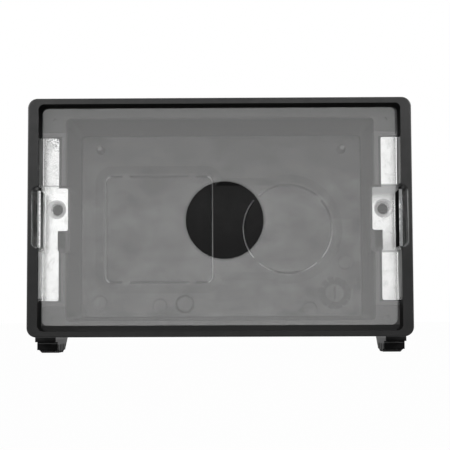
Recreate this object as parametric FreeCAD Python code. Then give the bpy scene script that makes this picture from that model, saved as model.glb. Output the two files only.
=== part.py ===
import FreeCAD, Part
import math
import os

# Flush back box for a wall plate, seen as it sits in the wall.
# +X is to the right, +Y goes into the wall and +Z is up, in millimetres.
# The origin is the middle of the wall cut-out, on the wall's surface, where the rim's front edge lies.
V = FreeCAD.Vector

# Rim, and the plate screws that stand inside it, 84 mm apart
RIM_WIDTH = 97.0
RIM_HEIGHT = 60.4
RIM_SIDE = 2.7
RIM_TOP = 1.5
SCREW_TO_WALL = 3.8
SCREW_RISE = 2.5
RIM_DEPTH = 7.5
RIM_CORNER = 2.4
RIM_INNER_CORNER = 1.4
RIM_EDGE = 0.35

# Shelf inside the rim, and the deep body behind it
SHELF_SIDE = 6.05
SHELF_TOP = 2.5
SHELF_THICK = 1.8
BOX_DEPTH = 36.0
BODY_WALL = 1.8
BACK_WALL = 2.0
DRAFT_DEG = 2.0
BODY_CORNER = 1.4
FLOOR_FILLET = 0.8

# Recess in the shelf that takes a bracket, with a low rib round it
FRAME_RIB = 1.05
RIB_RISE = 0.5
RIB_GAP = 0.7
BRACKET_PLAY = 0.3
DIMPLE_R = 0.6
DIMPLE_DEPTH = 0.4
DIMPLE_IN = 3.2
DIMPLE_TOP = 3.2

# Well behind the tab, where the plate screw's point goes
WELL_DEPTH = 12.5
WELL_WALL = 1.2
WELL_BULGE = 1.0
WELL_SHOULDER = 1.0
WELL_CORNER = 1.2

# Scallop in the side of the rim, behind the bracket's lip
SCALLOP_LENGTH = 15.4
SCALLOP_DEPTH = 1.5
SCALLOP_DRAFT = 0.3
SCALLOP_CHAMFER = 0.3

# Zinc-plated brackets
SHEET = 0.8
BEND_R = 0.4
BRACKET_LENGTH = 42.0
MIDDLE_LENGTH = 17.0
MIDDLE_INSET = 0.25
MIDDLE_STEP = 0.3
MIDDLE_LEAN = 0.65
STEP_OVERLAP = 0.4
TAB_LENGTH = 11.0
TAB_REST = 0.4
PLATE_CORNER = 0.5
UPSTAND_TOP = 1.3
UPSTAND_SHORT = 0.6
LIP_TOP = 0.3
LIP_LOW = -7.6
LIP_HIGH = 6.7
THREAD_R = 1.45
COLLAR_R = 2.0
COLLAR_DEPTH = 1.8
FLARE_R = 0.95

# Fits and cuts: the play between two pieces, and how far a cutting shape runs past what it cuts
FIT_GAP = 0.05
PAST = 1.0

# Knock-outs in the back wall, on one low pad with sloping sides
SQUARE_SIDE = 30.0
SQUARE_CORNER = 2.1
SQUARE_X = -17.25
ROUND_D = 25.0
ROUND_X = 18.4
KNOCK_OUT_Z = -0.85
PAD_RISE = 0.8
PAD_MARGIN = 0.5
PAD_SLOPE = 2.2
PAD_LINK = 12.0
PAD_LINK_CORNER = 0.5
SCORE_WIDTH = 0.6
SCORE_FLANK = 0.35
SCORE_DEPTH = 1.5
BRIDGE = 2.0
SQUARE_BRIDGE_X = 9.15

# Small moulded features on the floor
PIN_X = 33.4
PIN_Z = 21.3
PIN_R = 1.4
PIN_TOP_R = 0.6
PIN_HEIGHT = 4.0
STUD_X = -10.1
STUD_Z = -21.5
STUD_R = 2.65
STUD_TOP_R = 1.9
STUD_HEIGHT = 1.0
EJECTOR_R = 2.1
EJECTOR_DEPTH = 0.25
EJECTOR_SLOPE = 0.4
EJECTORS = [(34.2, -10.1), (-33.6, -21.1), (-17.0, -22.0), (24.4, -23.0)]
DIAL_X = 31.3
DIAL_Z = -18.6
DIAL_R = 4.5
DIAL_HUB_R = 2.5
DIAL_DEPTH = 0.5
DIAL_TICKS = 12
DIAL_TICK = 0.35
DIAL_HAND = 1.8
DIAL_HAND_WIDTH = 0.6

# Barbed feet under the two lower corners
FOOT_IN = 6.1
FOOT_WIDTH = 5.3
FOOT_RISE = 5.0
FOOT_STEPS = [(0.0, 1.3), (3.7, 3.4)]
FOOT_TEETH_START = 7.2
FOOT_TOOTH_PITCH = 3.4
FOOT_TOOTH = 0.8
FOOT_DROP = 4.2
FOOT_TEETH = 3
FOOT_HEEL_Y = 18.5
FOOT_HEEL_DROP = 3.6
FOOT_TAIL_Y = 24.7
FOOT_TAIL_DROP = 0.0
FOOT_WEB = 3.2
FOOT_CHAMFER = 0.7

# Clear cover sheet that lies on the shelf
COVER_THICK = 0.5
COVER_LIFT = 0.05
COVER_LEFT_GAP = 0.12
COVER_RIGHT_GAP = 0.58
COVER_TOP_GAP = 0.1
COVER_LOW_GAP = 1.4
COVER_CORNER = 1.6
COVER_HOLE_R = 10.0
COVER_HOLE_X = 1.2
COVER_HOLE_Z = -0.4
COVER_LIP_GAP = 0.15

# Sizes that follow from those above
rim_x = RIM_WIDTH / 2
pocket_x = rim_x - RIM_SIDE
screw_x = pocket_x - SCREW_TO_WALL
foot_x = rim_x - FOOT_IN
rim_z = RIM_HEIGHT / 2
pocket_z = rim_z - RIM_TOP
opening_x = pocket_x - SHELF_SIDE
opening_z = pocket_z - SHELF_TOP
shelf_back = RIM_DEPTH + SHELF_THICK
floor_y = BOX_DEPTH - BACK_WALL
draft = math.tan(math.radians(DRAFT_DEG))
recess_y = RIM_DEPTH + SHEET
recess_z = BRACKET_LENGTH / 2 + BRACKET_PLAY
bulge_x = opening_x - WELL_BULGE
tab_x = bulge_x + TAB_REST
well_x = bulge_x + WELL_WALL
well_z = MIDDLE_LENGTH / 2 - WELL_SHOULDER
tower_z = well_z + WELL_WALL
strip_x = opening_x + FRAME_RIB + RIB_GAP
middle_z = MIDDLE_LENGTH / 2
middle_y = RIM_DEPTH - MIDDLE_STEP
lip_x = pocket_x - MIDDLE_LEAN
pad_y = floor_y - PAD_RISE
cover_y = RIM_DEPTH - RIB_RISE


def block(x0, x1, y0, y1, z0, z1):
    return Part.makeBox(x1 - x0, y1 - y0, z1 - z0, V(x0, y0, z0))


def outline(half_x, half_z, radius, y, x=0.0, z=0.0):
    """A rectangle with round corners, facing the viewer, at depth y."""
    flat_x = half_x - radius
    flat_z = half_z - radius
    arcs = []
    centres = [(flat_x, flat_z), (-flat_x, flat_z), (-flat_x, -flat_z), (flat_x, -flat_z)]
    for index, (cx, cz) in enumerate(centres):
        points = []
        for half in range(3):
            angle = (2 * index + half) * math.pi / 4
            points.append(V(x + cx + radius * math.cos(angle), y, z + cz + radius * math.sin(angle)))
        arcs.append(points)
    edges = []
    for here, after in zip(arcs, arcs[1:] + arcs[:1]):
        edges.append(Part.Arc(*here).toShape())
        if here[2].distanceToPoint(after[0]) > 1e-6:
            edges.append(Part.LineSegment(here[2], after[0]).toShape())
    return Part.Wire(edges)


def slab(half_x, half_z, radius, y0, y1, x=0.0, z=0.0):
    return Part.Face(outline(half_x, half_z, radius, y0, x, z)).extrude(V(0, y1 - y0, 0))


def taper(front, back):
    return Part.makeLoft([front, back], True, True)


def rod(x, z, radius, y0, y1):
    return Part.makeCylinder(radius, y1 - y0, V(x, y0, z), V(0, 1, 0))


def cone(x, z, r0, r1, y0, y1):
    return Part.makeCone(r0, r1, y1 - y0, V(x, y0, z), V(0, 1, 0))


def profile(points, direction):
    """A closed flat profile, pushed along a direction."""
    return Part.Face(Part.makePolygon(points + points[:1])).extrude(direction)


def mirrored(shape):
    return shape.mirror(V(0, 0, 0), V(1, 0, 0))


def both_sides(shape):
    return [shape, mirrored(shape)]


def round_edges(shape, radius, wanted):
    edges = [edge for edge in shape.Edges if wanted(edge)]
    return shape.makeFillet(radius, edges)


def upright_edge(x, z):
    """Picks the edge that runs into the wall at this place."""
    def wanted(edge):
        box = edge.BoundBox
        across = max(box.XLength, box.ZLength) < 1e-6
        return across and abs(box.XMin - x) < 1e-4 and abs(box.ZMin - z) < 1e-4
    return wanted


def joined(shapes):
    return shapes[0].multiFuse(shapes[1:]).removeSplitter()


# The moulded box

def rim_and_shelf():
    """The rim with its round corners, closed behind by the shelf."""
    whole = slab(rim_x, rim_z, RIM_CORNER, 0, shelf_back)
    whole = round_edges(whole, RIM_EDGE, lambda edge: edge.BoundBox.YMax < 1e-6)
    return whole.cut(slab(pocket_x, pocket_z, RIM_INNER_CORNER, -PAST, RIM_DEPTH))


def body_shell():
    """The deep body behind the shelf, tapered so that it leaves the mould."""
    grow = BODY_WALL
    back_x = opening_x - (BOX_DEPTH - RIM_DEPTH) * draft + grow
    back_z = opening_z - (BOX_DEPTH - RIM_DEPTH) * draft + grow
    radius = BODY_CORNER + BODY_WALL
    front = outline(opening_x + grow, opening_z + grow, radius, RIM_DEPTH)
    return taper(front, outline(back_x, back_z, radius, BOX_DEPTH))


def body_space():
    """The room inside, from the shelf's opening to the floor, with a round at the floor's edge."""
    sink = (floor_y - RIM_DEPTH) * draft
    front = outline(opening_x, opening_z, BODY_CORNER, RIM_DEPTH)
    back = outline(opening_x - sink, opening_z - sink, BODY_CORNER, floor_y)
    space = taper(front, back)
    return round_edges(space, FLOOR_FILLET, lambda edge: edge.BoundBox.YMin > floor_y - 1e-6)


def well_tower():
    """The walls round one screw well. They bulge a little into the room inside."""
    tower = block(bulge_x, pocket_x, RIM_DEPTH, recess_y + WELL_DEPTH + WELL_WALL, -tower_z, tower_z)
    for side in (-tower_z, tower_z):
        tower = round_edges(tower, WELL_CORNER, upright_edge(bulge_x, side))
    return tower


def well_space():
    return block(well_x, pocket_x - WELL_WALL, RIM_DEPTH, recess_y + WELL_DEPTH, -well_z, well_z)


def recess_space():
    """The seat of one bracket: a flat in the shelf, and a slot for the upstand in the rim's side."""
    flat = block(strip_x - RIB_GAP, pocket_x, cover_y, recess_y, -recess_z, recess_z)
    over_well = block(bulge_x - WELL_WALL, pocket_x, cover_y, recess_y, -tower_z, tower_z)
    slot_x = pocket_x + SHEET + FIT_GAP
    slot = block(pocket_x - PAST, slot_x, UPSTAND_TOP - FIT_GAP, recess_y, -recess_z, recess_z)
    return [flat, over_well, slot]


def recess_frame():
    """The low rib that stands round one bracket, along the opening and at both ends."""
    z = recess_z + FRAME_RIB
    return block(opening_x, pocket_x, cover_y, RIM_DEPTH, -z, z)


def scallop():
    """The hollow behind a lip. It narrows a little towards the shelf, and its mouth is chamfered."""
    deep = SCALLOP_DEPTH - SCALLOP_DRAFT
    half = SCALLOP_LENGTH / 2
    wide = SCALLOP_DEPTH + SCALLOP_CHAMFER
    front = outline(SCALLOP_DEPTH, half, SCALLOP_DEPTH - FIT_GAP, 0, pocket_x)
    mouth = outline(wide, half + SCALLOP_CHAMFER, wide - FIT_GAP, 0, pocket_x)
    hollow = taper(front, outline(deep, half - SCALLOP_DRAFT, deep - FIT_GAP, recess_y, pocket_x))
    inner = outline(SCALLOP_DEPTH, half, SCALLOP_DEPTH - FIT_GAP, SCALLOP_CHAMFER, pocket_x)
    return hollow.fuse(taper(mouth, inner))


def foot():
    """A barbed foot: two steps, a row of teeth, and a ramp back up to the body."""
    low = -rim_z
    points = [V(foot_x, shelf_back, low + FOOT_RISE)]
    for step, drop in FOOT_STEPS:
        points.append(V(foot_x, shelf_back + step, points[-1].z if step else low + FOOT_RISE))
        points.append(V(foot_x, shelf_back + step, low - drop))
    start = shelf_back + FOOT_TEETH_START
    points.append(V(foot_x, start, points[-1].z))
    for index in range(FOOT_TEETH):
        y = start + index * FOOT_TOOTH_PITCH
        points.append(V(foot_x, y, low - FOOT_DROP))
        points.append(V(foot_x, y + FOOT_TOOTH_PITCH, low - FOOT_DROP + FOOT_TOOTH))
    points.append(V(foot_x, shelf_back + FOOT_HEEL_Y, low - FOOT_HEEL_DROP))
    points.append(V(foot_x, shelf_back + FOOT_TAIL_Y, low - FOOT_TAIL_DROP))
    points.append(V(foot_x, shelf_back + FOOT_TAIL_Y, low + FOOT_RISE))
    shape = profile(points[1:], V(FOOT_WIDTH, 0, 0))
    outer = foot_x + FOOT_WIDTH
    sole = low - FOOT_DROP
    corner = [V(outer - FOOT_CHAMFER, 0, sole), V(outer, 0, sole + FOOT_CHAMFER), V(outer, 0, sole)]
    shape = shape.cut(profile(corner, V(0, BOX_DEPTH, 0)))
    web_z = low + FOOT_RISE
    web_x = opening_x + BODY_WALL / 2
    web = block(web_x, foot_x, shelf_back, shelf_back + FOOT_TAIL_Y, web_z - FOOT_WEB, web_z)
    return shape.fuse(web)


def pads():
    """The low pads that carry the two knock-outs, and the one that links them, all with sloping sides."""
    square = SQUARE_SIDE / 2 + PAD_MARGIN
    wide = square + PAD_SLOPE
    corner = SQUARE_CORNER + PAD_MARGIN
    square_pad = taper(
        outline(square, square, corner, pad_y, SQUARE_X, KNOCK_OUT_Z),
        outline(wide, wide, corner + PAD_SLOPE, floor_y, SQUARE_X, KNOCK_OUT_Z),
    )
    top = ROUND_D / 2 + PAD_MARGIN
    round_pad = cone(ROUND_X, KNOCK_OUT_Z, top, top + PAD_SLOPE, pad_y, floor_y)
    middle_x = (SQUARE_X + ROUND_X) / 2
    half_x = (ROUND_X - SQUARE_X) / 2
    link = taper(
        outline(half_x, PAD_LINK, PAD_LINK_CORNER, pad_y, middle_x, KNOCK_OUT_Z),
        outline(half_x, PAD_LINK + PAD_SLOPE, PAD_LINK_CORNER, floor_y, middle_x, KNOCK_OUT_Z),
    )
    return [square_pad, round_pad, link]


def square_score():
    """The square knock-out's score line: a slanted outer flank over a thin slot, left whole at four bridges."""
    y = pad_y + SCORE_DEPTH
    half = SQUARE_SIDE / 2
    slot_half = half - SCORE_FLANK
    slot_corner = SQUARE_CORNER - SCORE_FLANK
    inner_half = half - SCORE_WIDTH
    flank = taper(
        outline(half, half, SQUARE_CORNER, pad_y, SQUARE_X, KNOCK_OUT_Z),
        outline(slot_half, slot_half, slot_corner, pad_y + SCORE_FLANK, SQUARE_X, KNOCK_OUT_Z),
    )
    slot = slab(slot_half, slot_half, slot_corner, pad_y, y, SQUARE_X, KNOCK_OUT_Z)
    inner = slab(inner_half, inner_half, SQUARE_CORNER - SCORE_WIDTH, pad_y, y, SQUARE_X, KNOCK_OUT_Z)
    ring = flank.fuse(slot).cut(inner)
    for side in (-1, 1):
        x = SQUARE_X + side * SQUARE_BRIDGE_X
        ring = ring.cut(block(x - BRIDGE / 2, x + BRIDGE / 2, pad_y, y, -rim_z, rim_z))
    return ring


def round_score():
    """The round knock-out's score line, cut the same way, with its four bridges on the diagonals."""
    y = pad_y + SCORE_DEPTH
    radius = ROUND_D / 2
    flank = cone(ROUND_X, KNOCK_OUT_Z, radius, radius - SCORE_FLANK, pad_y, pad_y + SCORE_FLANK)
    ring = flank.fuse(rod(ROUND_X, KNOCK_OUT_Z, radius - SCORE_FLANK, pad_y, y))
    ring = ring.cut(rod(ROUND_X, KNOCK_OUT_Z, radius - SCORE_WIDTH, pad_y, y))
    for angle in (45, 135):
        bar = block(-ROUND_D, ROUND_D, pad_y, y, -BRIDGE / 2, BRIDGE / 2)
        bar.rotate(V(0, 0, 0), V(0, 1, 0), angle)
        bar.translate(V(ROUND_X, 0, KNOCK_OUT_Z))
        ring = ring.cut(bar)
    return ring


def floor_bosses():
    """Two tapered pins and one low stud, moulded on the floor."""
    shapes = []
    for x in (-PIN_X, PIN_X):
        shapes.append(cone(x, PIN_Z, PIN_TOP_R, PIN_R, floor_y - PIN_HEIGHT, floor_y + BACK_WALL / 2))
    shapes.append(cone(STUD_X, STUD_Z, STUD_TOP_R, STUD_R, floor_y - STUD_HEIGHT, floor_y))
    return shapes


def floor_marks():
    """Shallow round marks that the ejector pins leave, and a plain dial of ticks with a hand."""
    deep = EJECTOR_R - EJECTOR_SLOPE
    marks = [cone(x, z, EJECTOR_R, deep, floor_y, floor_y + EJECTOR_DEPTH) for x, z in EJECTORS]
    y = floor_y + DIAL_DEPTH
    dial = rod(DIAL_X, DIAL_Z, DIAL_R, floor_y, y)
    dial = dial.cut(rod(DIAL_X, DIAL_Z, DIAL_HUB_R, floor_y, y))
    for index in range(DIAL_TICKS):
        tick = block(-DIAL_TICK / 2, DIAL_TICK / 2, floor_y, y, (DIAL_HUB_R + DIAL_R) / 2, DIAL_R)
        tick.rotate(V(0, 0, 0), V(0, 1, 0), 360 * index / DIAL_TICKS)
        tick.translate(V(DIAL_X, 0, DIAL_Z))
        dial = dial.cut(tick)
    half = DIAL_HAND_WIDTH / 2
    hand = block(DIAL_X - half, DIAL_X + half, floor_y, y, DIAL_Z - DIAL_HAND, DIAL_Z + DIAL_HAND)
    return marks + [dial, hand]


def shelf_dimples():
    cuts = []
    for side in (-1, 1):
        for level in (-1, 1):
            x = side * (pocket_x - DIMPLE_IN)
            z = level * (pocket_z - DIMPLE_TOP)
            cuts.append(rod(x, z, DIMPLE_R, RIM_DEPTH - PAST, RIM_DEPTH + DIMPLE_DEPTH))
    return cuts


def back_box():
    outside = joined([rim_and_shelf(), body_shell()] + both_sides(foot()))
    hollow = outside.cut(body_space())
    raised = pads() + floor_bosses() + both_sides(well_tower()) + both_sides(recess_frame())
    solid = joined([hollow] + raised)
    cuts = [square_score(), round_score()] + floor_marks() + shelf_dimples()
    cuts += both_sides(well_space()) + both_sides(scallop())
    for space in recess_space():
        cuts += both_sides(space)
    return solid.cut(cuts).removeSplitter()


# The two brackets

def angle_section(x_in, x_out, y_front, y_top, z0, z1):
    """A bent strip: a plate on the shelf and an upstand at its outer side, with round bends."""
    outer = BEND_R + SHEET
    back = y_front + SHEET
    diagonal = math.sqrt(0.5)
    inner_centre = V(x_out - outer, back - outer, z0)
    p = [
        V(x_in, back, z0),
        V(x_out - outer, back, z0),
        V(x_out, back - outer, z0),
        V(x_out, y_top, z0),
        V(x_out - SHEET, y_top, z0),
        V(x_out - SHEET, back - outer, z0),
        V(x_out - outer, y_front, z0),
        V(x_in, y_front, z0),
    ]
    outer_mid = inner_centre + V(outer * diagonal, outer * diagonal, 0)
    inner_mid = inner_centre + V(BEND_R * diagonal, BEND_R * diagonal, 0)
    edges = [
        Part.LineSegment(p[0], p[1]).toShape(),
        Part.Arc(p[1], outer_mid, p[2]).toShape(),
        Part.LineSegment(p[2], p[3]).toShape(),
        Part.LineSegment(p[3], p[4]).toShape(),
        Part.LineSegment(p[4], p[5]).toShape(),
        Part.Arc(p[5], inner_mid, p[6]).toShape(),
        Part.LineSegment(p[6], p[7]).toShape(),
        Part.LineSegment(p[7], p[0]).toShape(),
    ]
    return Part.Face(Part.Wire(edges)).extrude(V(0, 0, z1 - z0))


def strip(side):
    """One end of a bracket: its plate is a little longer than its upstand."""
    end = side * BRACKET_LENGTH / 2
    start = side * (middle_z - STEP_OVERLAP)
    low, high = min(start, end), max(start, end)
    shape = angle_section(strip_x, pocket_x + SHEET, RIM_DEPTH, UPSTAND_TOP, low, high)
    shape = round_edges(shape, PLATE_CORNER, upright_edge(strip_x, end))
    tip = sorted((end, end - side * UPSTAND_SHORT))
    waste = block(pocket_x, pocket_x + SHEET * 2, 0, RIM_DEPTH - BEND_R, tip[0], tip[1])
    root = sorted((start, side * middle_z))
    joint = block(pocket_x, pocket_x + SHEET * 2, 0, RIM_DEPTH - BEND_R, root[0], root[1])
    return shape.cut([waste, joint])


def middle():
    """The middle of a bracket: stepped forward, with a tall lip and the tab that takes the screw."""
    plate_x = strip_x + MIDDLE_INSET
    lip_out = lip_x + SHEET
    shape = angle_section(plate_x, lip_out, middle_y, LIP_TOP, -middle_z, middle_z)
    far_x = lip_out + PAST
    near_y = LIP_TOP - PAST
    above = block(lip_x - BEND_R, far_x, near_y, cover_y, LIP_HIGH, middle_z + PAST)
    below = block(lip_x - BEND_R, far_x, near_y, cover_y, -middle_z - PAST, LIP_LOW)
    tab_low = SCREW_RISE - TAB_LENGTH / 2
    tab_high = SCREW_RISE + TAB_LENGTH / 2
    tab = block(tab_x, plate_x + SHEET, middle_y, middle_y + SHEET, tab_low, tab_high)
    for z in (tab_low, tab_high):
        tab = round_edges(tab, PLATE_CORNER, upright_edge(tab_x, z))
    return shape.cut([above, below]).fuse(tab)


def bracket():
    """The right-hand bracket, with its pierced and threaded collar."""
    back = middle_y + SHEET
    collar = rod(screw_x, SCREW_RISE, COLLAR_R, back - SHEET / 2, back + COLLAR_DEPTH)
    hole = rod(screw_x, SCREW_RISE, THREAD_R, middle_y - PAST, back + COLLAR_DEPTH + PAST)
    root = middle_y + FLARE_R
    mouth = rod(screw_x, SCREW_RISE, THREAD_R + FLARE_R, middle_y, root)
    bend = Part.makeTorus(THREAD_R + FLARE_R, FLARE_R, V(screw_x, root, SCREW_RISE), V(0, 1, 0))
    shape = joined([middle(), strip(1), strip(-1), collar])
    return shape.cut([hole, mouth.cut(bend)]).removeSplitter()


# The clear cover

def clear_cover():
    """A thin clear sheet with a finger hole, notched where the bracket lips stand."""
    low = -pocket_z + COVER_LOW_GAP
    high = pocket_z - COVER_TOP_GAP
    left = -pocket_x + COVER_LEFT_GAP
    right_side = pocket_x - COVER_RIGHT_GAP
    back = cover_y - COVER_LIFT
    half_x = (right_side - left) / 2
    half_z = (high - low) / 2
    middle_x = (right_side + left) / 2
    sheet = slab(half_x, half_z, COVER_CORNER, back - COVER_THICK, back, middle_x, (high + low) / 2)
    hole = rod(COVER_HOLE_X, COVER_HOLE_Z, COVER_HOLE_R, 0, RIM_DEPTH)
    notch_low = LIP_LOW - COVER_LIP_GAP
    notch_high = LIP_HIGH + COVER_LIP_GAP
    notch = block(lip_x - COVER_LIP_GAP, pocket_x + PAST, 0, RIM_DEPTH, notch_low, notch_high)
    return sheet.cut([hole] + both_sides(notch))


def export(node, shape):
    solid = shape.Solids[0] if len(shape.Solids) == 1 else shape
    solid.exportStep("parts/" + node + ".step")
    box = solid.BoundBox
    print(node, "solids", len(shape.Solids), "valid", shape.isValid(), "volume", round(solid.Volume, 1))
    print("   x", round(box.XMin, 2), round(box.XMax, 2), "y", round(box.YMin, 2), round(box.YMax, 2),
          "z", round(box.ZMin, 2), round(box.ZMax, 2))


os.makedirs("parts", exist_ok=True)
right = bracket()
export("back_box", back_box())
export("right_bracket", right)
export("left_bracket", mirrored(right))
export("clear_cover", clear_cover())
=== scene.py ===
import math

import bpy
from mathutils import Matrix, Vector


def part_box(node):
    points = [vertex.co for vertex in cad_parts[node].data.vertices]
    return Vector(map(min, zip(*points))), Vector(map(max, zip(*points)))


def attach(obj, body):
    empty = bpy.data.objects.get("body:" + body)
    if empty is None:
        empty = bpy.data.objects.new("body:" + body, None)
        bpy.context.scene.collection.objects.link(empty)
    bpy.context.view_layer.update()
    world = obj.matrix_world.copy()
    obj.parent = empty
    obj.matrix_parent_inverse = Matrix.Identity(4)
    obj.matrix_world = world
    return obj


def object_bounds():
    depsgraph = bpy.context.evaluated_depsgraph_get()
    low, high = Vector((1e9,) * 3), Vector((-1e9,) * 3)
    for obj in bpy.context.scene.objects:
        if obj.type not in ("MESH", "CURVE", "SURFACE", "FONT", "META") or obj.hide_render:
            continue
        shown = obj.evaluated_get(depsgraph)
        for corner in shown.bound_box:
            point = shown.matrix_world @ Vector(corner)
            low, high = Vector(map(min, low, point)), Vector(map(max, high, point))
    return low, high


# A flush back box on a white table: one black moulding, two zinc-plated brackets and a clear cover sheet.
# Everything is in metres. The box's front looks along -Y, and the wall's surface would be the plane Y = 0.
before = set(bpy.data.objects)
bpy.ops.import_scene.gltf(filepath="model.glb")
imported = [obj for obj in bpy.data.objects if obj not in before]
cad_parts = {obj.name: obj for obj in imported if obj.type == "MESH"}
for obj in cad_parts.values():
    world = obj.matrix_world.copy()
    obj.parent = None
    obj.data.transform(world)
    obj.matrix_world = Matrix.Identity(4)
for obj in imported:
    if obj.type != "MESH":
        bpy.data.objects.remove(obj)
cad_box = [list(corner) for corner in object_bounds()]
MM = 0.001


# The moulding
# One shot of black polypropylene with a spark-eroded matt skin. The rim, the shelf, the deep body and the
# feet come out of one mould. Shade is painted on the skin, growing from the top of the rim down to the feet.
PLASTIC_DEEP = (0.0010, 0.0010, 0.0011, 1)
PLASTIC_PALE = (0.0190, 0.0190, 0.0190, 1)
# The colours that paint light and shade on the skin: a darker copy of it for painted shade, then pale paint
# for highlights, for light on the shelf and floor, and for highlights on the score lines
PLASTIC_SHADED = (0.0025, 0.0025, 0.0025, 1)
PAINTED_HIGHLIGHT = (0.95, 0.95, 0.95, 1)
PAINTED_LIGHT_GREY = (0.2, 0.2, 0.2, 1)
SCORE_HIGHLIGHT = (0.75, 0.75, 0.75, 1)
PLASTIC_IOR = 1.5
PLASTIC_ROUGH = 0.4
PLASTIC_SHEEN = 0.4
# The roughness and sheen of the darker copy that paints shade
SHADED_ROUGH = 0.7
SHADED_SHEEN = 0.08
EDGE_ROUND = 0.2 * MM
EDGE_SAMPLES = 6

# The noises in the skin. Each has its waves per metre, its detail, and its stretch and roughness where they
# aren't the usual ones. The values under it say how strongly it works. A bump has a strength and a height.
NOISE_MEAN = 0.5
GRAIN = (5200, 2.0)
GRAIN_ROUGH = 0.08
GRAIN_BUMP = (0.2, 0.00002)
MOTTLE = (240, 4.0)
MOTTLE_GAIN = 1.3
MOTTLE_ROUGH = 0.1
MOTTLE_BUMP = (0.06, 0.00006)
FLOW = (38, 3.0, (1.0, 0.6, 2.4))
FLOW_GAIN = 1.5
PALE_SHARE = 0.38

# A Mix node's sockets for colours, by number, because its other sockets have the same names
MIX_SHARE, MIX_LOW, MIX_HIGH = 0, 6, 7
MIX_RESULT = 2


class Value:
    """What a node's socket gives. Sums on a value that is a number add Math nodes to its tree."""

    def __init__(self, nodes, socket):
        self.nodes = nodes
        self.socket = socket

    def math(self, operation, first, second=0.0):
        return self.nodes.node("ShaderNodeMath", {"operation": operation}, {0: first, 1: second})["Value"]

    def __add__(self, other):
        return self.math("ADD", self, other)

    def __radd__(self, other):
        return self.math("ADD", other, self)

    def __sub__(self, other):
        return self.math("SUBTRACT", self, other)

    def __rsub__(self, other):
        return self.math("SUBTRACT", other, self)

    def __mul__(self, other):
        return self.math("MULTIPLY", self, other)

    def __rmul__(self, other):
        return self.math("MULTIPLY", other, self)

    def size(self):
        return self.math("ABSOLUTE", self)

    def or_larger(self, other):
        return self.math("MAXIMUM", self, other)

    def back_and_forth(self, reach):
        return self.math("PINGPONG", self, reach)


class Node:
    """A node of a tree. Its outputs are read by name or number."""

    def __init__(self, nodes, made):
        self.nodes = nodes
        self.made = made

    def __getitem__(self, name):
        return Value(self.nodes, self.made.outputs[name])


class Nodes:
    """A node tree, with one way to add any node and short ways to add the usual ones."""

    def __init__(self, tree):
        self.tree = tree

    def set(self, node, name, value):
        socket = node.inputs[name]
        if isinstance(value, Value):
            self.tree.links.new(value.socket, socket)
        else:
            socket.default_value = value

    def node(self, kind, settings=None, sockets=None):
        made = self.tree.nodes.new(kind)
        for name, value in (settings or {}).items():
            setattr(made, name, value)
        for name, value in (sockets or {}).items():
            self.set(made, name, value)
        return Node(self, made)

    def ramp(self, value, shape):
        """Runs from low to high while the value goes from start to end, and stays there beyond."""
        start, end, low, high = shape
        sockets = {"Value": value, "From Min": start, "From Max": end, "To Min": low, "To Max": high}
        return self.node("ShaderNodeMapRange", None, sockets)["Result"]

    def between(self, value, rise, fall):
        return self.ramp(value, rise) * self.ramp(value, fall)

    def clamped(self, value):
        return self.ramp(value, (0.0, 1.0, 0.0, 1.0))

    def reach(self, across, height):
        """The distance from a point in the picture's plane, given the way to it across and up."""
        flat = self.node("ShaderNodeCombineXYZ", None, {"X": across, "Z": height})["Vector"]
        return self.node("ShaderNodeVectorMath", {"operation": "LENGTH"}, {0: flat})["Value"]

    def mix_colours(self, share, low, high):
        sockets = {MIX_SHARE: share, MIX_LOW: low, MIX_HIGH: high}
        return self.node("ShaderNodeMix", {"data_type": "RGBA"}, sockets)[MIX_RESULT]

    def bump(self, height, strength, distance, normal=None):
        sockets = {"Height": height, "Strength": strength, "Distance": distance}
        if normal:
            sockets["Normal"] = normal
        return self.node("ShaderNodeBump", None, sockets)["Normal"]


class Finish(Nodes):
    """One material, with its Principled shader and the object's own coordinates and facings."""

    def __init__(self, name):
        self.material = bpy.data.materials.new(name)
        self.material.use_nodes = True
        super().__init__(self.material.node_tree)
        self.tree.nodes.clear()
        self.output = self.node("ShaderNodeOutputMaterial").made
        self.shader = self.node("ShaderNodeBsdfPrincipled")
        self.set(self.output, "Surface", self.shader["BSDF"])
        around = self.node("ShaderNodeTexCoord")
        self.place = around["Object"]
        spot = self.node("ShaderNodeSeparateXYZ", None, {"Vector": self.place})
        self.across = spot["X"]
        self.depth = spot["Y"]
        self.height = spot["Z"]
        facing = self.node("ShaderNodeSeparateXYZ", None, {"Vector": around["Normal"]})
        self.sideways = facing["X"].size()
        self.level = facing["Y"].size()

    def noise(self, scale, detail, stretch=None, rough=0.5):
        place = self.place
        if stretch:
            place = self.node("ShaderNodeMapping", None, {"Vector": place, "Scale": stretch})["Vector"]
        sockets = {"Vector": place, "Scale": scale, "Detail": detail, "Roughness": rough}
        return self.node("ShaderNodeTexNoise", {"noise_dimensions": "3D"}, sockets)["Fac"]

    def shade(self, **sockets):
        for name, value in sockets.items():
            self.set(self.shader.made, name.replace("_", " "), value)
        return self.material

    def blend(self, share, shader):
        """Brings in a second shader, by a share that changes over the surface."""
        mix = self.node("ShaderNodeMixShader", None, {0: share, 1: self.shader["BSDF"], 2: shader})
        self.set(self.output, "Surface", mix["Shader"])


def over_mm(start, end, low=0.0, high=1.0):
    """A ramp over a length: where it starts and ends, in millimetres, and its values there."""
    return (start * MM, end * MM, low, high)


# Where shade is painted on the skin, as a darker and less glossy copy of it. A ramp over a facing, such as
# this first one, has no unit.
FRONTAL = (0.5, 0.8, 1.0, 0.0)
SHADE_DOWNWARD = over_mm(26, -14, 0.0, 0.5)
SHADE_ON_FEET = over_mm(-30.4, -31.2, 0.0, 0.5)
ABOVE_FEET = over_mm(-30.4, -30.0)
FOOT_SIDE = over_mm(-30.5, -31.0)
FOOT_SIDE_SHADE = 0.4
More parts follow.
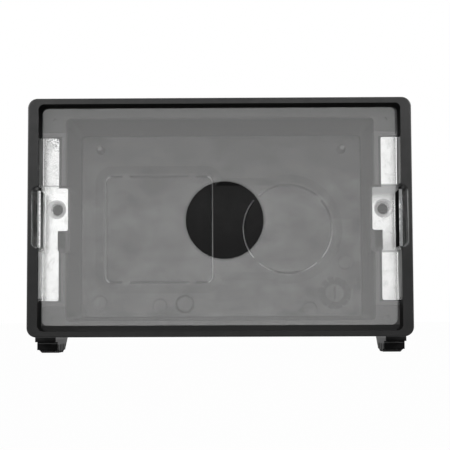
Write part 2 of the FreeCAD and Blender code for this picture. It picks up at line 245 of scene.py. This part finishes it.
# Painted dark lines on the lower part of the feet's sides, standing in for the shade between fine teeth
COMB_HALF_PITCH = 2.4 * MM
COMB_GROOVE = over_mm(1.3, 1.9, 1.0, 0.1)
COMB_HEIGHT = over_mm(-32.0, -32.5)
SHADE_DEEP = over_mm(8.6, 12, 0.0, 0.28)
WALL_FACING = (0.4, 0.7, 1.0, 0.0)
WALL_DEPTH = over_mm(7.2, 7.4, 1.0, 0.0)


def painted_shade_share(finish, inside):
    """Painted shade: more of it toward the feet and on them, deep in the box and on its inner walls, with
    painted dark lines on the feet's sides.
    """
    height, depth = finish.height, finish.depth
    front = finish.ramp(finish.sideways, FRONTAL)
    dull = (finish.ramp(height, SHADE_DOWNWARD) + finish.ramp(height, SHADE_ON_FEET)) * front
    # Painted dark lines for the shade between the teeth on the feet's sides
    comb = finish.ramp(depth.back_and_forth(COMB_HALF_PITCH), COMB_GROOVE)
    comb = comb * finish.ramp(height, COMB_HEIGHT)
    dull = dull + (comb + FOOT_SIDE_SHADE) * (finish.ramp(height, FOOT_SIDE) * (1.0 - front))
    dull = dull + finish.ramp(depth, SHADE_DEEP) * finish.ramp(height, ABOVE_FEET)
    wall = finish.ramp(finish.level, WALL_FACING) * finish.ramp(depth, WALL_DEPTH)
    return dull + wall * inside


# Painted light in the scallops in the rim's sides, and painted highlights on the edges of the feet's steps
SCALLOP_INNER = over_mm(45.9, 46.1)
SCALLOP_OUTER = over_mm(48.0, 48.2, 1.0, 0.0)
SCALLOP_HALF = over_mm(7.9, 8.2, 1.0, 0.0)
SCALLOP_UPPER = over_mm(5.4, 7.0, 1.0, 0.05)
SCALLOP_FRONT = over_mm(0.1, 0.3)
SCALLOP_BACK = over_mm(8.5, 8.8, 1.0, 0.0)
STREAK = (1400, 3.0, (1.0, 1.0, 0.08))
STREAK_MOTTLE = 0.4
STREAK_CONTRAST = (0.5, 0.78, 0.25, 1.0)
STREAK_DEPTH = over_mm(1.1, 1.7, 0.8, 1.0)
STREAK_SIDE = over_mm(-1, 1, 0.7, 1.0)
STEP_FACING = (0.6, 0.9, 0.0, 1.0)
STEP_LINES = ((31.9 * MM, 0.05), (34.0 * MM, 0.04))
STEP_LINE_HALF = (0.08, 0.2)


def scallop_and_step_highlights(finish, mottle):
    """Painted light in streaks in the scallops and along their front edge, and painted highlights along the
    edges of the feet's steps.
    """
    across, height, depth = finish.across, finish.height, finish.depth
    highlight = finish.between(across.size(), SCALLOP_INNER, SCALLOP_OUTER)
    highlight = highlight * finish.ramp(height.size(), SCALLOP_HALF) * finish.ramp(height, SCALLOP_UPPER)
    highlight = highlight * finish.between(depth, SCALLOP_FRONT, SCALLOP_BACK)
    streaks = finish.ramp(finish.noise(*STREAK) + mottle * STREAK_MOTTLE, STREAK_CONTRAST)
    streaks = streaks * finish.ramp(depth, STREAK_DEPTH) * finish.ramp(across, STREAK_SIDE)
    highlight = highlight * streaks
    for down, strength in STEP_LINES:
        line = finish.ramp((height + down).size(), over_mm(*STEP_LINE_HALF, strength, 0.0))
        highlight = highlight + line * finish.ramp(finish.level, STEP_FACING)
    return highlight


# Painted light on the floor, in swirls and most of it low down, more on the ejector marks, less on slopes and
# in the dial, and none in a disc under the cover's finger hole
HOLE_RIM = over_mm(10.9, 11.6)
FLOOR_DEPTH = over_mm(31.5, 32.5)
FLOOR_FACING = (0.73, 0.76, 0.0, 1.0)
FLOOR_SLOPE = (0.8, 0.985, 0.5, 1.0)
FLOOR_DOWNWARD = over_mm(19, 8, 0.45, 1.0)
SWIRL = (110, 5.0, (1.0, 1.0, 1.25), 0.65)
SWIRL_FLOW = 0.6
SWIRL_CONTRAST = (0.58, 1.0, 0.2, 1.0)
DIAL_DEPTH = over_mm(34.3, 34.45, 1.0, 0.25)
MARK_DEPTH = over_mm(34.1, 34.2, 0.0, 0.2)


def floor_painted_light(finish, reach, flow):
    """Painted light on the floor of the box, in swirls, and most of it low down."""
    depth, level = finish.depth, finish.level
    painted_light = finish.ramp(depth, FLOOR_DEPTH) * finish.ramp(reach, HOLE_RIM) * finish.ramp(depth, DIAL_DEPTH)
    painted_light = painted_light * finish.ramp(level, FLOOR_FACING) * finish.ramp(level, FLOOR_SLOPE)
    painted_light = painted_light * finish.ramp(finish.height, FLOOR_DOWNWARD)
    painted_light = painted_light * finish.ramp(finish.noise(*SWIRL) + flow * SWIRL_FLOW, SWIRL_CONTRAST)
    return painted_light + painted_light * finish.ramp(depth, MARK_DEPTH)


# Painted highlights on the score lines round the knock-outs and on the tips of the pins
SCORE_FACING = (0.15, 0.4, 0.0, 1.0)
SCORE_SLOPE = (0.85, 0.95, 1.0, 0.0)
SCORE_DEPTH = over_mm(33.15, 33.25)
SCORE_HALF_X = over_mm(31.5, 32.5, 1.0, 0.0)
SCORE_HALF_Z = over_mm(17, 18, 1.0, 0.0)
SCORE_TOP_LINE = over_mm(10, 16, 0.8, 0.0)
SCORE_FALL = (3 * MM, -6 * MM)
SCORE_HOLE_RIM = over_mm(10.9, 11.6, 0.5, 1.0)
PIN_TIP_FRONT = over_mm(29.8, 29.9)
PIN_TIP_BACK = over_mm(30.2, 30.4, 1.0, 0.0)
PIN_TIP_FACING = (0.9, 0.98, 0.0, 0.35)


def score_highlight_share(finish, reach):
    """Painted highlights on the slopes of the score lines round the knock-outs, and on the tips of the pins.
    """
    across, height, depth, level = finish.across, finish.height, finish.depth, finish.level
    score = finish.ramp(finish.sideways, SCORE_FACING) * finish.ramp(depth, SCORE_DEPTH)
    score = score * finish.ramp(level, SCORE_SLOPE) * finish.ramp(height.size(), SCORE_HALF_Z)
    score = score * finish.ramp(height, (*SCORE_FALL, finish.ramp(across, SCORE_TOP_LINE), 1.0))
    score = score * finish.ramp(across.size(), SCORE_HALF_X) * finish.ramp(reach, SCORE_HOLE_RIM)
    return score + finish.between(depth, PIN_TIP_FRONT, PIN_TIP_BACK) * finish.ramp(level, PIN_TIP_FACING)


# The inside of the rim, the shelf in it and the middle of the area that shows through the finger hole
INSIDE_X = over_mm(46.0, 46.2, 1.0, 0.0)
INSIDE_Z = over_mm(29.0, 29.3, 1.0, 0.0)
SHELF_FRONT = over_mm(6.8, 6.95)
SHELF_BACK = over_mm(8.2, 8.5, 1.0, 0.0)
# Painted light on the shelf, strongest on its ribs
SHELF_LIGHT = over_mm(7.15, 7.35, 0.8, 0.4)
# Painted shade on the lowest strip of the shelf, which gets none of the shelf's painted light
UNCOVERED = over_mm(-27.1, -27.4, 0.0, 0.65)
HOLE_X = 0.9 * MM
HOLE_Z = 1.7 * MM


def moulded_plastic():
    finish = Finish("moulded_black_plastic")
    grain = finish.noise(*GRAIN)
    mottle = finish.noise(*MOTTLE)
    flow = finish.noise(*FLOW)
    soft_edge = finish.node("ShaderNodeBevel", {"samples": EDGE_SAMPLES}, {"Radius": EDGE_ROUND})["Normal"]
    normal = finish.bump(mottle, *MOTTLE_BUMP, finish.bump(grain, *GRAIN_BUMP, soft_edge))
    inside = finish.ramp(finish.across.size(), INSIDE_X) * finish.ramp(finish.height.size(), INSIDE_Z)
    reach = finish.reach(finish.across - HOLE_X, finish.height - HOLE_Z)
    shelf = finish.between(finish.depth, SHELF_FRONT, SHELF_BACK) * inside
    # Painted shade on the lowest strip of the shelf
    uncovered = shelf * finish.ramp(finish.height, UNCOVERED)
    dull = finish.clamped(painted_shade_share(finish, inside) + uncovered)
    # Painted light on the shelf and on the floor
    shelf = (shelf - uncovered) * finish.ramp(finish.depth, SHELF_LIGHT)
    painted_light = finish.clamped(shelf + floor_painted_light(finish, reach, flow))
    highlight = scallop_and_step_highlights(finish, mottle)
    score = score_highlight_share(finish, reach)

    # Paints light over a skin: highlights in the scallops and on the feet's steps, light on the shelf and
    # floor, and highlights on the score lines
    def light_and_shade(skin):
        skin = finish.mix_colours(highlight, skin, PAINTED_HIGHLIGHT)
        return finish.mix_colours(score, finish.mix_colours(painted_light, skin, PAINTED_LIGHT_GREY), SCORE_HIGHLIGHT)

    pale = (mottle - NOISE_MEAN) * MOTTLE_GAIN + (flow - NOISE_MEAN) * FLOW_GAIN + PALE_SHARE
    # The painted shade: the darker, less glossy copy of the skin, mixed in by the dull share
    sockets = {
        "Base Color": light_and_shade(PLASTIC_SHADED),
        "Roughness": SHADED_ROUGH,
        "Normal": normal,
        "Specular IOR Level": SHADED_SHEEN,
    }
    finish.blend(dull, finish.node("ShaderNodeBsdfPrincipled", None, sockets)["BSDF"])
    return finish.shade(
        Base_Color=light_and_shade(finish.mix_colours(pale, PLASTIC_DEEP, PLASTIC_PALE)),
        Roughness=PLASTIC_ROUGH + mottle * MOTTLE_ROUGH + grain * GRAIN_ROUGH,
        Normal=normal,
        IOR=PLASTIC_IOR,
        Specular_IOR_Level=PLASTIC_SHEEN,
    )


def dress(node, material):
    """Gives a solid its finish."""
    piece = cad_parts[node]
    piece.data.materials.clear()
    piece.data.materials.append(material)
    return piece


dress("back_box", moulded_plastic())


# The brackets
# Pressed from 0.8 mm sheet steel and barrel-plated with zinc, so the flats are bright with soft cloudy
# patches and fine scuffs. Each snaps into its recess, and its collar is tapped for a plate screw.
STEEL = (0.96, 0.965, 0.96, 1)
STEEL_DULL = (0.6, 0.605, 0.6, 1)
STEEL_SHADE = (0.2, 0.205, 0.205, 1)
STEEL_ROUGH = 0.12
ZINC_MATT = (0.97, 0.97, 0.97, 1)
MATT_ROUGH = 0.8
SCREW_X = 42 * MM
SCREW_Z = 2.5 * MM
MIDDLE_HALF = over_mm(8.4, 8.6, 1.0, 0.0)
LOWER_HALF = (-1 * MM, 1 * MM)

# The noises in the plating
CLOUD = (420, 5.0, None, 0.65)
CLOUD_MEAN = 0.53
CLOUD_GAIN = 2.6
CLOUD_ROUGH = 0.2
CLOUD_BUMP = (0.1, 0.0002)
SCUFF = (1500, 3.0, (1.0, 1.0, 0.12))
SCUFF_GAIN = 0.6
SCUFF_ROUGH = 0.06
SCUFF_BUMP = (0.12, 0.00004)
PIT = (2400, 2.0)
PIT_GAIN = 1.1
PIT_BUMP = 0.3

# Where shade is painted on the plating, and where it has dark patches. Each ring of painted shade has its
# radius, its width and its strength.
# A painted shadow line at each end of the middle
JOINT_Z = 8.6 * MM
JOINT_SHADOW = over_mm(0.0, 0.35, 0.75, 0.0)
CORNER = over_mm(-25.2, -21.8)
CORNER_CLOUD = 0.6
CORNER_PITS = (0.72, 0.9)
UPPER_STRIP = over_mm(8.7, 9.0)
UPPER_PITS = (0.35, 0.6, 0.05, 0.22)
# Painted shade on the lip's cut edge, in scuffs and darker towards its outer side
LIP_EDGE = over_mm(0.4, 0.6, 1.0, 0.0)
LIP_SCUFFS = (0.8, 1.2)
LIP_SPREAD = (0.6, 1.3)
LIP_OUTER = over_mm(45.4, 45.85, 0.0, 0.8)
SHADE_RINGS = ((2.36 * MM, 0.14, 0.35), (1.95 * MM, 0.1, 0.15))


def painted_shade_and_patches(finish, noises, reach, middle, shades, corner, edge, low_line):
    """The dark share: a painted shadow line at each end of the middle, painted shade in the middle, dark
    patches in the corner of the upper end and over the upper strip, painted shade on the lip's cut edge, and
    painted shade in rings in the collar's mouth."""
    cloud, scuff, pits = noises
    across, height = finish.across.size(), finish.height
    shade = finish.ramp((height.size() - JOINT_Z).size(), JOINT_SHADOW)
    shade = shade * finish.ramp(height, (*LOWER_HALF, low_line, 1.0))
    for start, end, strength in shades:
        shade = shade + finish.ramp(height, over_mm(start, end, 0.0, strength)) * middle
    if corner:
        patches = finish.ramp(pits + cloud * CORNER_CLOUD, (*CORNER_PITS, 0.0, corner))
        shade = shade + finish.ramp(height - across, CORNER) * patches
        shade = shade + finish.ramp(height, UPPER_STRIP) * finish.ramp(pits, UPPER_PITS)
    least, most = LIP_SPREAD
    # Painted shade on the lip's cut edge, in scuffs and towards its outer side
    light_and_shade = finish.ramp(scuff + pits, (*LIP_SCUFFS, edge * least, edge * most))
    light_and_shade = light_and_shade + finish.ramp(across, LIP_OUTER)
    shade = shade + finish.ramp(finish.depth, LIP_EDGE) * light_and_shade
    for radius, width, strength in SHADE_RINGS:
        shade = shade + finish.ramp((reach - radius).size(), over_mm(0.0, width, strength, 0.0))
    return finish.clamped(shade)


# The flank of the upstand and of the lip, which the camera sees almost edge on: painted shade, with painted
# light on parts of it
FLANK_SHADE = (0.09, 0.09, 0.09, 1)
STRIPE = (1500, 2.0, (1.0, 1.0, 0.05))
STRIPE_CONTRAST = (0.35, 0.65)
LIP_FLANK_SHADE = (0.018, 0.018, 0.018, 1)
LIP_FALL = (7 * MM, -2 * MM)
LIP_LIGHT = 0.45
LIP_LIGHT_DEPTH = 2.6 * MM
LIP_LIGHT_LINE = over_mm(0.3, 0.6, 0.3, 0.0)
LIP_ROOT = over_mm(4.4, 4.8)


def flank_light_and_shade(finish, middle, light, pale):
    """Striped and darkened with painted shade, with painted light on its lower half, on the lip's root and in
    a line on the lip.
    """
    height, depth = finish.height, finish.depth
    stripes = finish.ramp(finish.noise(*STRIPE), (*STRIPE_CONTRAST, 0.0, pale))
    flank = finish.mix_colours(stripes, FLANK_SHADE, STEEL_DULL)
    flank = finish.mix_colours(finish.ramp(height, (*LOWER_HALF, light, 0.0)), flank, STEEL)
    lip = finish.mix_colours(finish.ramp(height, (*LIP_FALL, 0.0, light * LIP_LIGHT)), LIP_FLANK_SHADE, STEEL)
    line = finish.ramp((depth - LIP_LIGHT_DEPTH).size(), LIP_LIGHT_LINE) + finish.ramp(depth, LIP_ROOT)
    return finish.mix_colours(middle, flank, finish.mix_colours(line * light, lip, STEEL))


# Where the plating looks matt: on the flanks, and in the flared mouth of the collar
UPRIGHT_FACING = (0.3, 0.6, 0.0, 1.0)
UPRIGHT_PLACE = over_mm(44.8, 45.0)
UPRIGHT_MATT = 0.85
LIP_MATT = 0.15
FLARE_RIM = over_mm(2.36, 2.42, 0.6, 0.0)
FLARE_BORE = over_mm(1.47, 1.5)
FLARE_OUTER = over_mm(0.8, 1.4, 1.0, 1.4)


def zinc_plate(name, shades, corner, edge, low_line, flank_light, flank_pale):
    """Zinc plating. The shades are parts of the middle with painted shade, given by their heights in
    millimetres and their strength. The next three are the strength of the dark patches in the upper corner,
    of the painted shade on the lip's cut edge and of the painted shadow line at the lower end of the middle.
    The last two say how far light is painted on the flanks, and how pale their stripes are."""
    finish = Finish(name)
    cloud = finish.noise(*CLOUD)
    scuff = finish.noise(*SCUFF)
    pits = finish.noise(*PIT)
    across = finish.across.size()
    reach = finish.reach(across - SCREW_X, finish.height - SCREW_Z)
    middle = finish.ramp(finish.height.size(), MIDDLE_HALF)
    shade = painted_shade_and_patches(finish, (cloud, scuff, pits), reach, middle, shades, corner, edge, low_line)
    flank = flank_light_and_shade(finish, middle, flank_light, flank_pale)
    upright = finish.ramp(finish.sideways, UPRIGHT_FACING) * finish.ramp(across, UPRIGHT_PLACE)
    flare = finish.between(reach, FLARE_BORE, FLARE_RIM) * finish.ramp(across - SCREW_X, FLARE_OUTER)
    normal = finish.bump(scuff, *SCUFF_BUMP)
    normal = finish.bump(cloud + pits * PIT_BUMP, *CLOUD_BUMP, normal)

    # Lays the painted shade over a skin, and the flank's painted light and shade on the flanks
    def shaded(skin):
        return finish.mix_colours(upright, finish.mix_colours(shade, skin, STEEL_SHADE), flank)

    sockets = {
        "Base Color": shaded(ZINC_MATT),
        "Roughness": MATT_ROUGH,
        "Normal": normal,
        "Specular IOR Level": 0.0,
    }
    matt_share = finish.clamped(upright * UPRIGHT_MATT + upright * middle * LIP_MATT + flare)
    finish.blend(matt_share, finish.node("ShaderNodeBsdfPrincipled", None, sockets)["BSDF"])
    dull = (cloud - CLOUD_MEAN) * CLOUD_GAIN
    dull = dull + (scuff - NOISE_MEAN) * SCUFF_GAIN + (pits - NOISE_MEAN) * PIT_GAIN
    return finish.shade(
        Base_Color=shaded(finish.mix_colours(dull, STEEL, STEEL_DULL)),
        Metallic=1.0,
        Roughness=STEEL_ROUGH + cloud * CLOUD_ROUGH + scuff * SCUFF_ROUGH,
        Normal=normal,
    )


# The thread in the collars, cut by the tap
THREAD_R = 1.45 * MM
THREAD_PITCH = 0.6 * MM
THREAD_DEPTH = 0.1 * MM
THREAD_TURNS = 2.2
THREAD_BACK = 0.2 * MM
STEPS_PER_TURN = 28
CREST_CORNERS = 3


def thread_tree():
    """A node tree that turns a helix into a triangular thread, with its sizes as inputs."""
    tree = bpy.data.node_groups.new("tapped_thread", "GeometryNodeTree")
    face = tree.interface
    face.new_socket("Geometry", in_out="INPUT", socket_type="NodeSocketGeometry")
    for name in ("Radius", "Pitch", "Turns", "Depth"):
        face.new_socket(name, in_out="INPUT", socket_type="NodeSocketFloat")
    face.new_socket("Material", in_out="INPUT", socket_type="NodeSocketMaterial")
    face.new_socket("Geometry", in_out="OUTPUT", socket_type="NodeSocketGeometry")
    nodes = Nodes(tree)
    given = nodes.node("NodeGroupInput")
    sockets = {
        "Resolution": STEPS_PER_TURN,
        "Start Radius": given["Radius"],
        "End Radius": given["Radius"],
        "Rotations": given["Turns"],
        "Height": given["Turns"] * given["Pitch"],
    }
    spiral = nodes.node("GeometryNodeCurveSpiral", None, sockets)["Curve"]
    sockets = {"Resolution": CREST_CORNERS, "Radius": given["Depth"]}
    crest = nodes.node("GeometryNodeCurvePrimitiveCircle", None, sockets)["Curve"]
    sockets = {"Curve": spiral, "Profile Curve": crest, "Fill Caps": True}
    sweep = nodes.node("GeometryNodeCurveToMesh", None, sockets)["Mesh"]
    real = nodes.node("GeometryNodeRealizeInstances", None, {"Geometry": sweep})["Geometry"]
    sockets = {"Geometry": real, "Material": given["Material"]}
    coat = nodes.node("GeometryNodeSetMaterial", None, sockets)["Geometry"]
    nodes.node("NodeGroupOutput", None, {"Geometry": coat})
    return tree


def grown(name, tree, inputs, place):
    """The mesh that a node tree makes with these inputs, as a plain piece moved to its place."""
    seed = bpy.data.objects.new(name + "_seed", bpy.data.meshes.new(name + "_seed"))
    bpy.context.scene.collection.objects.link(seed)
    modifier = seed.modifiers.new("shape", "NODES")
    modifier.node_group = tree
    for item in tree.interface.items_tree:
        if item.in_out == "INPUT" and item.name in inputs:
            modifier[item.identifier] = inputs[item.name]
    bpy.context.view_layer.update()
    graph = bpy.context.evaluated_depsgraph_get()
    mesh = bpy.data.meshes.new_from_object(seed.evaluated_get(graph))
    bpy.data.objects.remove(seed)
    mesh.transform(place)
    piece = bpy.data.objects.new(name, mesh)
    bpy.context.scene.collection.objects.link(piece)
    return piece


# The shades paint shade over parts of each bracket's middle
left_steel = zinc_plate(
    "zinc_plated_steel_left",
    shades=[(6.5, 8.5, 0.12)],
    corner=0.9,
    edge=0.5,
    low_line=0.0,
    flank_light=0.8,
    flank_pale=0.15,
)
right_steel = zinc_plate(
    "zinc_plated_steel_right",
    shades=[(3.5, 6.5, 0.85), (-3.0, -7.0, 0.45)],
    corner=0.0,
    edge=0.7,
    low_line=1.0,
    flank_light=0.0,
    flank_pale=0.9,
)
dress("left_bracket", left_steel)
dress("right_bracket", right_steel)
collar_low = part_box("right_bracket")[1].y
thread_start = collar_low - THREAD_TURNS * THREAD_PITCH - THREAD_BACK
thread = thread_tree()
for side, name, steel in ((-1, "left_thread", left_steel), (1, "right_thread", right_steel)):
    start = Vector((side * SCREW_X, thread_start, SCREW_Z))
    place = Matrix.Translation(start) @ Matrix.Rotation(math.radians(-90), 4, "X")
    sizes = {
        "Radius": THREAD_R,
        "Pitch": THREAD_PITCH,
        "Turns": THREAD_TURNS,
        "Depth": THREAD_DEPTH,
        "Material": steel,
    }
    piece = grown(name, thread, sizes, place)
    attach(piece, "root")


# The clear cover
# A die-cut sheet of clear film, half a millimetre thick, that keeps plaster out of the box. It has gone
# slightly milky, and a finger lifts it out by its round hole.
MILK = (0.93, 0.93, 0.925, 1)
FILM_IOR = 1.46
FILM_ROUGH = 0.34
HAZE = 0.166
# The haze thickens towards the bottom of the sheet: painted light that makes it brighter low down
HAZE_FALL = 0.7
SMEAR = (60, 3.0, (1.0, 1.0, 0.5))
SMEAR_ROUGH = 0.1
SMEAR_HAZE = 0.018
SMEAR_BUMP = (0.05, 0.0003)
SPECK = (1800, 2.0)
SPECK_HAZE = 0.006


def milky_film():
    finish = Finish("milky_clear_sheet")
    smear = finish.noise(*SMEAR)
    specks = finish.noise(*SPECK)
    return finish.shade(
        Base_Color=MILK,
        Roughness=FILM_ROUGH + smear * SMEAR_ROUGH,
        Alpha=HAZE + smear * SMEAR_HAZE + specks * SPECK_HAZE - finish.height * HAZE_FALL,
        Normal=finish.bump(smear, *SMEAR_BUMP),
        IOR=FILM_IOR,
    )


cover = dress("clear_cover", milky_film())
cover.visible_glossy = False
cover.visible_diffuse = False


# The table, the light and the camera
# A white sweep and pale walls all round, as in a product studio. One soft box in front lights the matt
# surfaces. Two panels beside the camera and one soft box on each side only show as reflections.
WHITE = (1, 1, 1, 1)
TABLE_COLOUR = (0.5, 0.5, 0.5, 1)
TABLE_ROUGH = 0.9
TABLE_HALF = 6.0
TABLE_SEEN_WHITE = 0.985
FLOOR_Z = cad_box[0][2]
CORNER_SIGNS = ((-1, -1), (1, -1), (1, 1), (-1, 1))


def flat_sheet(name, corners, material):
    mesh = bpy.data.meshes.new(name)
    mesh.from_pydata(corners, [], [(0, 1, 2, 3)])
    mesh.materials.append(material)
    sheet = bpy.data.objects.new(name, mesh)
    bpy.context.scene.collection.objects.link(sheet)
    return sheet


def seen_share(nodes):
    """1 for the rays that should find white, from the camera, in gloss or through film. 0 for the others."""
    path = nodes.node("ShaderNodeLightPath")
    return path["Is Camera Ray"].or_larger(path["Is Glossy Ray"]).or_larger(path["Is Transmission Ray"])


def white_table():
    finish = Finish("white_table")
    glow = finish.node("ShaderNodeEmission", None, {"Color": WHITE})["Emission"]
    finish.blend(seen_share(finish) * TABLE_SEEN_WHITE, glow)
    material = finish.shade(Base_Color=TABLE_COLOUR, Roughness=TABLE_ROUGH, Specular_IOR_Level=0.0)
    corners = [(x * TABLE_HALF, y * TABLE_HALF, FLOOR_Z) for x, y in CORNER_SIGNS]
    flat_sheet("table", corners, material)


# The walls: how strongly they light things, and how bright they look
WALLS_LIGHT = 0.12
WALLS_SEEN = 1.0


def studio_world():
    world = bpy.data.worlds.new("studio")
    bpy.context.scene.world = world
    world.use_nodes = True
    nodes = Nodes(world.node_tree)
    sky = nodes.tree.nodes["Background"]
    nodes.set(sky, "Color", WHITE)
    nodes.set(sky, "Strength", nodes.ramp(seen_share(nodes), (0.0, 1.0, WALLS_LIGHT, WALLS_SEEN)))


# The soft boxes, which all aim at the middle of the rim. Each has a name, a place, a size and its watts. True
# stands for one that only shows in gloss, False for one that only lights what is matt.
SOFT_BOXES = (
    ("key", (0.0, -0.9, -0.03), (0.36, 0.2), 7.6, False),
    ("left panel", (-0.17, -0.9, 0.055), (0.2, 0.27), 0.09, True),
    ("right panel", (0.18, -0.9, 0.055), (0.2, 0.27), 0.05, True),
    ("left accent", (-0.6, -0.38, 0.32), (0.2, 0.2), 8.0, True),
    ("right accent", (0.6, -0.38, 0.32), (0.2, 0.2), 7.0, True),
)


def soft_light(name, place, size, power, mirrored):
    lamp = bpy.data.lights.new(name, "AREA")
    lamp.shape = "RECTANGLE"
    lamp.size, lamp.size_y = size
    lamp.energy = power
    holder = bpy.data.objects.new(name, lamp)
    bpy.context.scene.collection.objects.link(holder)
    holder.visible_glossy = mirrored
    holder.visible_diffuse = not mirrored
    holder.location = place
    holder.rotation_euler = (-Vector(place)).to_track_quat("-Z", "Y").to_euler()


# The camera's own dark front, a card that only shows in gloss
BODY_PLACE = (4.5 * MM, -335 * MM, -26 * MM)
BODY_HALF = (45 * MM, 32 * MM)
BODY_BLACK = (0.003, 0.003, 0.003, 1)


def camera_body():
    x, y, z = BODY_PLACE
    half_x, half_z = BODY_HALF
    corners = [(x + a * half_x, y, z + b * half_z) for a, b in CORNER_SIGNS]
    material = Finish("camera_black").shade(Base_Color=BODY_BLACK, Specular_IOR_Level=0.0)
    body = flat_sheet("camera_body", corners, material)
    body.visible_camera = False
    body.visible_diffuse = False
    body.visible_transmission = False
    body.visible_shadow = False


# The camera at the photograph's place. Yaw turns it left, pitch up and roll clockwise, in degrees.
CAMERA_PLACE = (4.5 * MM, -328.2 * MM, -26.2 * MM)
YAW, PITCH, ROLL = (math.radians(degrees) for degrees in (-0.55, 4.19, -0.21))
FOCAL_PX = 1309
IMAGE_PX = 450
SENSOR_MM = 36
NEAREST_SEEN = 0.01


def camera():
    lens = bpy.data.cameras.new("camera")
    lens.sensor_width = SENSOR_MM
    lens.lens = FOCAL_PX / IMAGE_PX * SENSOR_MM
    lens.clip_start = NEAREST_SEEN
    holder = bpy.data.objects.new("camera", lens)
    bpy.context.scene.collection.objects.link(holder)
    turn = Matrix.Rotation(-YAW, 4, "Z") @ Matrix.Rotation(math.radians(90) + PITCH, 4, "X")
    holder.matrix_world = Matrix.Translation(CAMERA_PLACE) @ turn @ Matrix.Rotation(ROLL, 4, "Z")
    bpy.context.scene.camera = holder


white_table()
studio_world()
for soft_box in SOFT_BOXES:
    soft_light(*soft_box)
camera_body()
camera()
bpy.context.scene.view_settings.view_transform = "Standard"
